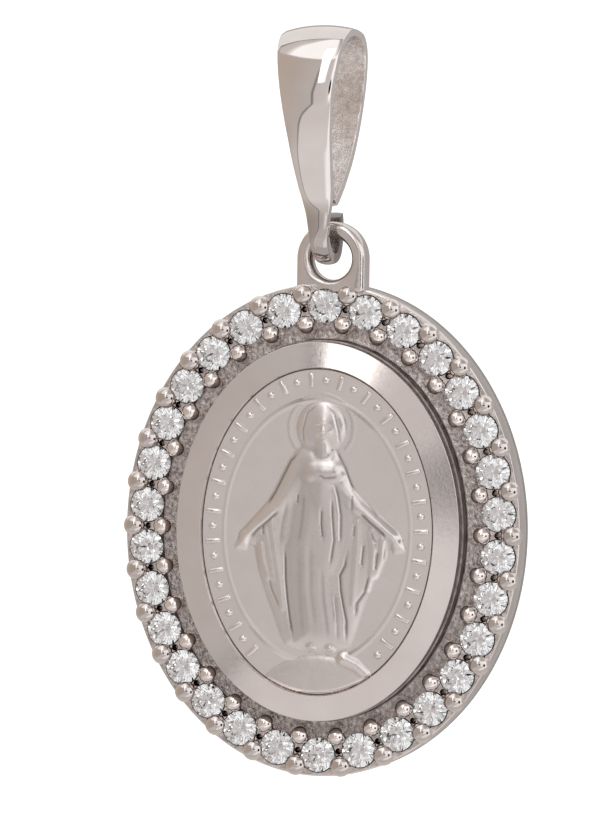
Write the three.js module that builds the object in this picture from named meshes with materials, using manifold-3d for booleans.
// Religious medal pendant: an oval medal plate in a cast frame of thirty small round stones,
// with a fixed loop on top that hangs in the lower eye of a tapered folded bail.
// Millimetres. The front is -Y and up is +Z. The origin is the bail's inner top, where a chain bears.
import * as THREE from "three";
import { ConvexGeometry } from "three/addons/geometries/ConvexGeometry.js";
import { mergeVertices } from "three/addons/utils/BufferGeometryUtils.js";
import Module from "manifold-3d";

const wasm = await Module();
wasm.setup();

// Stones. The girdle plane is the height 0 of the frame, and "rise" is measured from it to the front.
const stoneCount = 30;
const stoneDiameter = 1.3;
const stoneTable = 0.72;
const crownHeight = 0.21;
const pavilionDepth = 0.56;
const girdleHeight = 0.04;
const seatClearance = 0.04;
const seatWall = 0.32; // how far the seat's cone reaches below the girdle
const azureDiameter = 0.66; // the hole drilled on through the frame's back

// Ring: the half sizes of the oval line through the stone centres.
const ringHalfWidth = 6.88;
const ringHalfHeight = 8.56;

// Frame
const deckDrop = 0.06; // the deck lies this far under the girdle plane
const deckMargin = 0.17; // metal between a stone and the outer wall's edge
const deckInnerMargin = 0.11;
const wallTaper = 0.1; // the outer wall leans in this much towards the back
const frameDepth = 1.5;
const ledgeDrop = 0.42;
const webThickness = 0.5;
const collarWidth = 0.65;
const collarRise = 0.15;
const prongDiameter = 0.58;
const prongRise = 0.38;
const prongShoulder = 0.12; // where the post turns into its bead
const prongRoot = 0.5;
const prongClearance = 0.015;
const innerProngShift = 0.08; // the inner beads stand this much further in than the outer ones stand out

// Medal plate
const plateInset = 1.34; // from the ring line to the plate's edge
const plateThickness = 0.75;
const plateGap = 0.03;
const bevelWidth = 1.0;
const bevelDrop = 0.15;
const coveWidth = 0.1;
const fieldDrop = 0.17;
const beadLineInset = 0.85; // from the bevel's inner edge to the thin line round the figure
const beadLineWidth = 0.1;
const beadLineRise = 0.05;
const borderCount = 46; // bars and beads, one after the other
const borderInset = 0.42;
const borderOpening = 74; // degrees left bare at the foot of the field
const barLength = 0.4;
const barWidth = 0.12;
const borderRise = 0.08;

// Loop on top of the frame
const loopHole = 1.52;
const loopWire = 0.57;
const loopDepth = 1.0;
const loopEdge = 0.2; // rounding of the loop's edges
const loopFoot = 0.27; // metal between the loop's hole and the frame's outer edge
const loopRoot = 0.35; // how far the loop's legs reach into the frame
const loopSetback = 0.35; // from the girdle plane back to the loop's middle, so that the medal hangs near plumb

// Bail
const bailHeight = 9.0;
const bailDepth = 4.1;
const bailWidth = 2.66;
const leafThickness = 0.44;
const eyeWall = 0.38;
const eyeFloor = 0.68;
const eyeRoof = 0.3;
const eyeClearance = 0.1;
const restGap = 0.3; // between the loop's wire and the eye's floor
const eyeSetback = 0.35; // the eye lies this far behind the chain's seat
const bailTurn = -8; // degrees about Z, as it hangs in the photograph

// Sides of the bail. down: share of the way from the seat to the eye's middle.
// front, back: shares of the bail's depth, from the eye's middle. width: share of the bail's width.
const bailSections = [
  { down: -0.035, front: -0.32, back: 0.15, width: 1.0 },
  { down: 0.048, front: -0.488, back: 0.305, width: 0.945 },
  { down: 0.165, front: -0.566, back: 0.39, width: 0.845 },
  { down: 0.33, front: -0.59, back: 0.405, width: 0.7 },
  { down: 0.535, front: -0.517, back: 0.332, width: 0.57 },
  { down: 0.685, front: -0.427, back: 0.207, width: 0.505 },
  { down: 0.795, front: -0.346, back: 0.073, width: 0.45 },
  { down: 0.865, front: -0.293, back: 0.005, width: 0.415 },
];
// The foot of the bail, where both leaves have met. width: share of the bail's width.
const footSections = [
  { down: 0.925, width: 0.352 },
  { down: 1.05, width: 0.32 },
  { down: 1.125, width: 0.285 },
];
const topWidth = 0.93; // share of the bail's width, where the strap's corners round over
const tipWidth = 0.13;
const leavesMeet = 0.92; // share of the way down at which the outer faces have run together
const chainRoomFoot = 0.88; // the same for the room between the leaves

// Figure. x and y: the form's middle as shares of the field's half width and half height.
// wide, high: its half sizes, as the same shares. rise: share of the relief. lean: degrees.
const reliefRise = 0.4;
const figureForms = [
  { x: 0.03, y: -0.93, wide: 0.44, high: 0.165, rise: 0.5, lean: 0 }, // globe
  { x: 0.0, y: -0.32, wide: 0.28, high: 0.4, rise: 0.85, lean: 0 }, // robe
  { x: 0.01, y: 0.27, wide: 0.25, high: 0.25, rise: 1.0, lean: 0 }, // breast
  { x: -0.3, y: 0.0, wide: 0.15, high: 0.42, rise: 0.75, lean: -6 }, // mantle, left
  { x: 0.33, y: 0.0, wide: 0.15, high: 0.42, rise: 0.75, lean: 6 }, // mantle, right
  { x: -0.41, y: 0.17, wide: 0.085, high: 0.27, rise: 0.85, lean: -36 }, // arm, left
  { x: 0.45, y: 0.17, wide: 0.085, high: 0.27, rise: 0.85, lean: 36 }, // arm, right
  { x: -0.5, y: -0.15, wide: 0.1, high: 0.22, rise: 0.55, lean: 8 }, // sleeve, left
  { x: 0.54, y: -0.15, wide: 0.1, high: 0.22, rise: 0.55, lean: -8 }, // sleeve, right
  { x: 0.015, y: 0.62, wide: 0.2, high: 0.19, rise: 0.7, lean: 0 }, // veil
  { x: 0.015, y: 0.64, wide: 0.105, high: 0.105, rise: 1.05, lean: 0 }, // head
  { x: -0.06, y: -0.71, wide: 0.055, high: 0.035, rise: 0.8, lean: 0 }, // foot, left
  { x: 0.07, y: -0.715, wide: 0.055, high: 0.035, rise: 0.8, lean: 0 }, // foot, right
];

// Sizes that follow from those above
const stoneRadius = stoneDiameter / 2;
const seatRadius = stoneRadius + seatClearance;
const prongRadius = prongDiameter / 2;
const ovalStretch = ringHalfHeight - ringHalfWidth; // every oval is this much higher than wide, each side
const plateRadius = ringHalfWidth - plateInset;
const plateBack = collarRise + plateGap;
const plateRise = plateBack + plateThickness;
const fieldRadius = plateRadius - bevelWidth - coveWidth;
const fieldRise = plateRise - fieldDrop;
const wallRadius = ringHalfWidth + stoneRadius + deckMargin;
const eyeHalfDepth = loopDepth / 2 + eyeClearance;
const eyeHalfHeight = loopWire / 2 + restGap;
const tipZ = leafThickness - bailHeight;
const eyeZ = tipZ + eyeFloor + eyeHalfHeight;
const loopHoleZ = eyeZ - loopWire / 2 - loopHole / 2;
const ringZ = loopHoleZ - loopHole / 2 - loopFoot - (wallRadius + ovalStretch);
const loopHoleHeight = loopHoleZ - ringZ;

// Sides of each round shape, and points along each outline of the bail
const ROUND = { ring: 72, stone: 16, seat: 12, prong: 8, form: 12, bead: 6, bore: 28, arc: 20 };
const OUTLINE = { leaves: 72, front: 56, eye: 28 };
const past = 1; // how far a cutting tool runs past what it cuts

// Closed three.js geometry to a solid that can be joined and cut.
function solidOf(geometry) {
  const bare = geometry.clone();
  bare.deleteAttribute("normal");
  bare.deleteAttribute("uv");
  const merged = mergeVertices(bare, 1e-5);
  const corners = merged.index.array;
  const kept = [];
  for (let i = 0; i < corners.length; i += 3) {
    const [a, b, c] = corners.subarray(i, i + 3);
    if (a !== b && b !== c && c !== a) kept.push(a, b, c);
  }
  const vertProperties = merged.attributes.position.array;
  const triVerts = new Uint32Array(kept);
  return new wasm.Manifold(new wasm.Mesh({ numProp: 3, vertProperties, triVerts }));
}

function meshOf(name, solid, material) {
  const { numProp, vertProperties, triVerts } = solid.getMesh();
  const geometry = new THREE.BufferGeometry();
  const places = new THREE.InterleavedBuffer(vertProperties, numProp);
  geometry.setAttribute("position", new THREE.InterleavedBufferAttribute(places, 3, 0));
  geometry.setIndex(new THREE.BufferAttribute(triVerts, 1));
  const flat = geometry.toNonIndexed();
  flat.computeVertexNormals();
  const mesh = new THREE.Mesh(flat, material);
  mesh.name = name;
  return mesh;
}

function joined(solids) {
  return solids.reduce((whole, next) => whole.add(next));
}

// Turned shape with its axis along Z. profile: [radius, height] pairs.
function turned(profile, segments) {
  const points = profile.map(([radius, height]) => new THREE.Vector2(radius, height));
  return new THREE.LatheGeometry(points, segments).rotateX(Math.PI / 2);
}

// Turned shape stretched to the pendant's oval: outside the field every oval keeps the same wall
// widths all round, and inside it the shape runs together to the middle.
function ovalTurned(profile) {
  const geometry = turned(profile, ROUND.ring);
  const at = geometry.attributes.position;
  for (let i = 0; i < at.count; i++) {
    const radius = Math.hypot(at.getX(i), at.getY(i));
    const stretch = Math.min(1, radius / fieldRadius) * ovalStretch;
    if (radius > 0) at.setY(i, (at.getY(i) * (radius + stretch)) / radius);
  }
  return geometry;
}

// Places spaced evenly along the ring line, clockwise from the top.
function ringPlaces() {
  const line = new THREE.EllipseCurve(0, 0, ringHalfWidth, ringHalfHeight);
  line.arcLengthDivisions = 2000;
  const top = 0.25;
  return Array.from({ length: stoneCount }, (_, k) => line.getPointAt((1 + top - k / stoneCount) % 1));
}

// Places of the beads, one on each side of the line between two neighbouring stones.
function prongPlaces(stones) {
  const reach = seatRadius + prongClearance + prongRadius;
  return stones.flatMap((here, k) => {
    const next = stones[(k + 1) % stones.length];
    const middle = here.clone().add(next).multiplyScalar(0.5);
    const half = here.distanceTo(next) / 2;
    const side = Math.sqrt(Math.max(reach * reach - half * half, 0));
    const out = middle.clone().normalize();
    const across = next.clone().sub(here).normalize();
    const normal = new THREE.Vector2(-across.y, across.x);
    if (normal.dot(out) < 0) normal.negate();
    return [side, -side - innerProngShift].map((offset) => middle.clone().addScaledVector(normal, offset));
  });
}

function placed(geometry, place, height = 0) {
  return geometry.clone().translate(place.x, place.y, height);
}

function frameRing() {
  const inner = plateRadius - collarWidth;
  const deckInner = ringHalfWidth - stoneRadius - deckInnerMargin;
  const webBack = -ledgeDrop - webThickness;
  const profile = [
    [wallRadius, -deckDrop],
    [deckInner, -deckDrop],
    [deckInner, -ledgeDrop],
    [plateRadius, -ledgeDrop],
    [plateRadius, collarRise],
    [inner, collarRise],
    [inner, webBack],
    [deckInner, webBack],
    [deckInner, -frameDepth],
    [wallRadius - wallTaper, -frameDepth],
    [wallRadius, -deckDrop],
  ];
  return solidOf(ovalTurned(profile));
}

function prongGeometry() {
  const bead = prongRise - prongShoulder;
  const profile = [
    [0, -prongRoot],
    [prongRadius, -prongRoot],
    [prongRadius, prongShoulder],
    [prongRadius * Math.SQRT1_2, prongShoulder + bead * Math.SQRT1_2],
    [0, prongRise],
  ];
  return turned(profile, ROUND.prong);
}

// Room for one stone: a straight lip, a cone under its pavilion and a hole on through the back.
function seatGeometry() {
  const azure = azureDiameter / 2;
  const profile = [
    [0, -frameDepth - past],
    [azure, -frameDepth - past],
    [azure, -seatWall - seatClearance],
    [seatRadius, -girdleHeight - seatClearance],
    [seatRadius, past],
    [0, past],
  ];
  return turned(profile, ROUND.seat);
}

function loopSolid() {
  const inner = loopHole / 2 + loopWire - loopEdge;
  const foot = loopHoleHeight - loopHole / 2 - loopFoot - loopRoot;
  const outline = new THREE.Shape();
  outline.moveTo(inner, foot);
  outline.lineTo(inner, loopHoleHeight);
  outline.absarc(0, loopHoleHeight, inner, 0, Math.PI, false);
  outline.lineTo(-inner, foot);
  const geometry = new THREE.ExtrudeGeometry(outline, {
    depth: loopDepth - 2 * loopEdge,
    bevelSize: loopEdge,
    bevelThickness: loopEdge,
    bevelSegments: 2,
    curveSegments: ROUND.arc,
  });
  const solid = solidOf(geometry.translate(0, 0, loopEdge - loopDepth / 2 - loopSetback));
  return solid.subtract(loopBore());
}

// The loop's hole, opened out at both faces by the edge rounding.
function loopBore() {
  const hole = loopHole / 2;
  const half = loopDepth / 2;
  const profile = [
    [0, -half - past],
    [hole + loopEdge, -half - past],
    [hole + loopEdge, -half],
    [hole, loopEdge - half],
    [hole, half - loopEdge],
    [hole + loopEdge, half],
    [hole + loopEdge, half + past],
    [0, half + past],
  ];
  return solidOf(turned(profile, ROUND.bore).translate(0, loopHoleHeight, -loopSetback));
}

function frameSolid() {
  const stones = ringPlaces();
  const prong = prongGeometry();
  const seat = seatGeometry();
  const prongs = prongPlaces(stones).map((place) => solidOf(placed(prong, place)));
  const seats = stones.map((place) => solidOf(placed(seat, place)));
  return joined([frameRing(), loopSolid(), ...prongs]).subtract(joined(seats));
}

function plateSolid() {
  const line = fieldRadius - beadLineInset;
  const bevelInner = plateRadius - bevelWidth;
  const profile = [
    [0, plateBack],
    [plateRadius, plateBack],
    [plateRadius, plateRise - bevelDrop],
    [bevelInner, plateRise],
    [fieldRadius, fieldRise],
    [line + beadLineWidth / 2, fieldRise],
    [line, fieldRise + beadLineRise],
    [line - beadLineWidth / 2, fieldRise],
    [0, fieldRise],
  ];
  return solidOf(ovalTurned(profile));
}

function figureSolids() {
  const fieldHalfHeight = fieldRadius + ovalStretch;
  return figureForms.map((form) => {
    const dome = new THREE.SphereGeometry(1, ROUND.form, ROUND.form / 2).rotateX(Math.PI / 2);
    dome.scale(form.wide * fieldRadius, form.high * fieldHalfHeight, form.rise * reliefRise);
    dome.rotateZ(THREE.MathUtils.degToRad(form.lean));
    return solidOf(dome.translate(form.x * fieldRadius, form.y * fieldHalfHeight, fieldRise));
  });
}

// Border of bars and beads round the field, bare at its foot.
function borderSolids() {
  const wide = fieldRadius - borderInset;
  const start = THREE.MathUtils.degToRad(borderOpening / 2 - 90);
  const end = THREE.MathUtils.degToRad(270 - borderOpening / 2);
  const line = new THREE.EllipseCurve(0, 0, wide, wide + ovalStretch, start, end);
  return Array.from({ length: borderCount }, (_, k) => {
    const share = k / (borderCount - 1);
    const place = line.getPointAt(share);
    const along = line.getTangentAt(share);
    const mark =
      k % 2
        ? new THREE.SphereGeometry(barWidth, ROUND.bead, ROUND.bead / 2 + 1)
        : new THREE.BoxGeometry(barWidth, barLength, 2 * borderRise);
    return solidOf(placed(mark.rotateZ(along.angle()), place, fieldRise));
  });
}

function medalSolid() {
  return joined([plateSolid(), ...figureSolids(), ...borderSolids()]);
}

// Round brilliant: an eight-sided table, a sixteen-sided girdle and a point.
function stoneSolid() {
  const corners = [new THREE.Vector3(0, 0, -girdleHeight - pavilionDepth)];
  const rings = [
    { sides: ROUND.stone / 2, radius: stoneTable / 2, height: crownHeight },
    { sides: ROUND.stone, radius: stoneRadius, height: 0 },
    { sides: ROUND.stone, radius: stoneRadius, height: -girdleHeight },
  ];
  for (const { sides, radius, height } of rings)
    for (let k = 0; k < sides; k++) {
      const angle = (2 * Math.PI * k) / sides;
      corners.push(new THREE.Vector3(radius * Math.cos(angle), radius * Math.sin(angle), height));
    }
  return solidOf(new ConvexGeometry(corners));
}

// A closed outline through its points, extruded to both sides of its plane.
function slab(outlineCurve, halfDepth, divisions) {
  const shape = new THREE.Shape(outlineCurve.getPoints(divisions));
  const options = { depth: 2 * halfDepth, bevelEnabled: false };
  return new THREE.ExtrudeGeometry(shape, options).translate(0, 0, -halfDepth);
}

// Outline of the two leaves seen from the side, as depth and height, in by "inset" from their outer faces.
function leafOutline(inset, topZ, footDown) {
  const sections = inset > 0 ? bailSections.slice(1) : bailSections;
  const fronts = sections.map(({ down, front }) => [front * bailDepth + inset, down * eyeZ]);
  const backs = sections.map(({ down, back }) => [back * bailDepth - inset, down * eyeZ]);
  const last = sections[sections.length - 1];
  const foot = [((last.front + last.back) / 2) * bailDepth, footDown * eyeZ];
  const points = [[-eyeSetback, topZ], ...fronts, foot, ...backs.reverse(), [-eyeSetback, topZ]];
  return new THREE.SplineCurve(points.map(([depth, height]) => new THREE.Vector2(depth, height)));
}

// Front outline of the bail: its width down from the top, ending in a rounded tip.
function bailFront() {
  const rows = [...bailSections, ...footSections].map(({ down, width }) => [width, down * eyeZ]);
  const all = [[topWidth, leafThickness], ...rows, [tipWidth, tipZ]];
  const right = all.map(([width, z]) => new THREE.Vector2((width * bailWidth) / 2, z));
  const left = all.map(([width, z]) => new THREE.Vector2((-width * bailWidth) / 2, z)).reverse();
  return new THREE.SplineCurve([...right, ...left, right[0]]);
}

function eyeDisc(halfDepth, lowZ, highZ) {
  const halfHeight = (highZ - lowZ) / 2;
  const oval = new THREE.EllipseCurve(0, (lowZ + highZ) / 2, halfDepth, halfHeight);
  return sideways(slab(oval, bailWidth, OUTLINE.eye));
}

// An outline drawn in depth and height, turned so that they run along Y and Z.
function sideways(geometry) {
  return solidOf(geometry.rotateX(Math.PI / 2).rotateZ(Math.PI / 2));
}

function bailSolid() {
  const roofZ = eyeZ + eyeHalfHeight;
  const outer = leafOutline(0, leafThickness, leavesMeet);
  const inner = leafOutline(leafThickness, 0, chainRoomFoot);
  const leaves = sideways(slab(outer, bailWidth, OUTLINE.leaves));
  const chainRoom = sideways(slab(inner, bailWidth + past, OUTLINE.leaves));
  const eye = eyeDisc(eyeHalfDepth + eyeWall, tipZ, roofZ + eyeRoof);
  const eyeRoom = eyeDisc(eyeHalfDepth, eyeZ - eyeHalfHeight, roofZ);
  const side = leaves.add(eye).subtract(chainRoom).subtract(eyeRoom);
  const front = solidOf(slab(bailFront(), bailDepth, OUTLINE.front).rotateX(Math.PI / 2));
  return side.intersect(front);
}

const polished = new THREE.MeshStandardMaterial({ color: 0xd2cbc8, roughness: 0.12, metalness: 1 });
const satin = new THREE.MeshStandardMaterial({ color: 0xc6bfbc, roughness: 0.34, metalness: 1 });
const cast = new THREE.MeshStandardMaterial({ color: 0xc2b8b2, roughness: 0.25, metalness: 1 });
const clear = new THREE.MeshStandardMaterial({ color: 0xf4f4f6, roughness: 0.02, metalness: 0 });

// The medal's pieces are built lying face up, then stood upright with their face to the front.
const medalBody = new THREE.Group();
medalBody.rotation.x = Math.PI / 2;
medalBody.position.set(0, eyeSetback - loopSetback, ringZ);
medalBody.add(meshOf("frame", frameSolid(), cast));
medalBody.add(meshOf("medal", medalSolid(), satin));
const stone = stoneSolid();
ringPlaces().forEach((place, k) => {
  const mesh = meshOf("stone_" + String(k + 1).padStart(2, "0"), stone, clear);
  mesh.position.set(place.x, place.y, 0);
  mesh.rotation.z = place.angle();
  medalBody.add(mesh);
});

const bailBody = new THREE.Group();
bailBody.rotation.z = THREE.MathUtils.degToRad(bailTurn);
bailBody.position.set(0, eyeSetback, 0);
bailBody.add(meshOf("bail", bailSolid(), polished));

const pendant = new THREE.Group();
pendant.add(bailBody, medalBody);

export default pendant;
